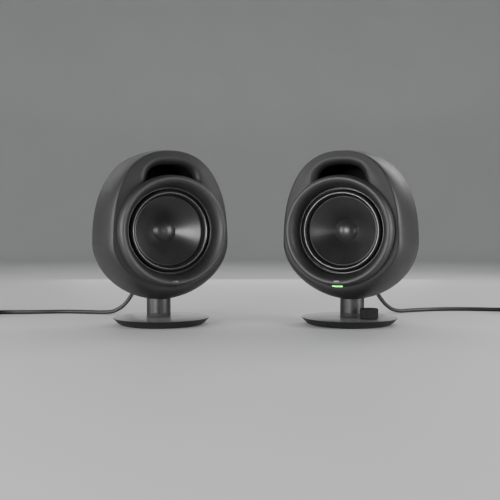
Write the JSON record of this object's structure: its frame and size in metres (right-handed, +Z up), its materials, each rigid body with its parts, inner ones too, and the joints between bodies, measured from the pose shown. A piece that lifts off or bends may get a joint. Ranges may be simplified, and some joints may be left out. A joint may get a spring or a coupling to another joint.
{
  "type": "desktop speakers",
  "caption": "Two egg-shaped desktop speakers, toed in on round feet, each tilting on its stem, with a rolled bezel round the driver, an arched port, and a volume knob on one foot.",
  "frame": {"origin": "centre of the pair's own box, without its cords, on the surface that the feet stand on", "axes": "+Z up, -Y towards the listener, +X towards the listener's right, where the speaker with the volume knob stands"},
  "size_m": [0.8771, 0.2405, 0.211],
  "materials": {
    "shell_black": "satin",
    "baffle_black": "satin",
    "bezel_black": "satin",
    "duct_black": "matte",
    "basket_black": "satin",
    "surround_rubber": "satin",
    "cone_black": "satin",
    "dust_cap_black": "gloss",
    "coil_copper": "satin",
    "spider_cloth": "matte",
    "zinc_steel": "satin",
    "ferrite": "matte",
    "screw_black": "satin",
    "badge_metal": "satin",
    "damping_felt": "matte",
    "bracket_steel": "satin",
    "light_green": "glowing",
    "panel_black": "matte",
    "socket_metal": "gloss",
    "board_green": "satin",
    "stem_metal": "satin",
    "foot_metal": "satin",
    "weight_iron": "matte",
    "pad_rubber": "matte",
    "pin_steel": "satin",
    "control_metal": "satin",
    "knob_black": "satin",
    "cord_black": "satin",
    "plug_black": "satin"
  },
  "bodies": {
    "stands": {"left_stem": "stem_metal", "right_stem": "stem_metal", "left_foot": "foot_metal", "right_foot": "foot_metal", "foot_weights": "weight_iron", "foot_pads": "pad_rubber", "foot_screws": "screw_black", "pivot_pins": "pin_steel", "volume_control": "control_metal", "link_cord": "cord_black", "link_coil": "cord_black", "link_plug": "plug_black", "power_cord": "cord_black", "power_coil": "cord_black", "power_plug": "plug_black"},
    "left_cabinet": {"left_rear_shell": "shell_black", "left_front_baffle": "baffle_black", "left_bezel_ring": "bezel_black", "left_port_duct": "duct_black", "left_driver_basket": "basket_black", "left_surround": "surround_rubber", "left_spider": "spider_cloth", "left_top_plate": "zinc_steel", "left_magnet": "ferrite", "left_yoke": "zinc_steel", "left_driver_screws": "screw_black", "left_cabinet_screws": "screw_black", "left_badge": "badge_metal", "left_damping_pad": "damping_felt", "left_tilt_bracket": "bracket_steel", "link_relief": "cord_black"},
    "right_cabinet": {"right_rear_shell": "shell_black", "right_front_baffle": "baffle_black", "right_bezel_ring": "bezel_black", "right_port_duct": "duct_black", "right_driver_basket": "basket_black", "right_surround": "surround_rubber", "right_spider": "spider_cloth", "right_top_plate": "zinc_steel", "right_magnet": "ferrite", "right_yoke": "zinc_steel", "right_driver_screws": "screw_black", "right_cabinet_screws": "screw_black", "right_badge": "badge_metal", "right_damping_pad": "damping_felt", "right_tilt_bracket": "bracket_steel", "light_bar": "light_green", "jack_panel": "panel_black", "jack_sockets": "socket_metal", "amplifier_board": "board_green", "power_relief": "cord_black"},
    "left_cone": {"left_cone": "cone_black", "left_dust_cap": "dust_cap_black", "left_voice_coil": "coil_copper"},
    "right_cone": {"right_cone": "cone_black", "right_dust_cap": "dust_cap_black", "right_voice_coil": "coil_copper"},
    "volume_knob": {"volume_knob": "knob_black", "knob_shaft": "pin_steel"}
  },
  "joints": [
    {"name": "left_tilt", "type": "hinge", "parent": "stands", "child": "left_cabinet", "pos_m": [-0.11988, 0.01451, 0.044], "axis": [-0.9205, -0.3907, 0], "range_deg": [-5, 20], "deforming": ["link_cord"]},
    {"name": "left_cone_travel", "type": "slide", "parent": "left_cabinet", "child": "left_cone", "axis": [0.3907, -0.9205, 0], "range_m": [-0.003, 0.003], "stiffness_N_per_m": 800, "deforming": ["left_surround", "left_spider"]},
    {"name": "right_tilt", "type": "hinge", "parent": "stands", "child": "right_cabinet", "pos_m": [0.11988, 0.01451, 0.044], "axis": [-0.9205, 0.3907, 0], "range_deg": [-5, 20], "deforming": ["power_cord"]},
    {"name": "right_cone_travel", "type": "slide", "parent": "right_cabinet", "child": "right_cone", "axis": [-0.3907, -0.9205, 0], "range_m": [-0.003, 0.003], "stiffness_N_per_m": 800, "deforming": ["right_surround", "right_spider"]},
    {"name": "volume_turn", "type": "hinge", "parent": "stands", "child": "volume_knob", "pos_m": [0.13543, -0.01925, 0.015], "axis": [0, 0, -1], "range_deg": [-150, 150]}
  ]
}
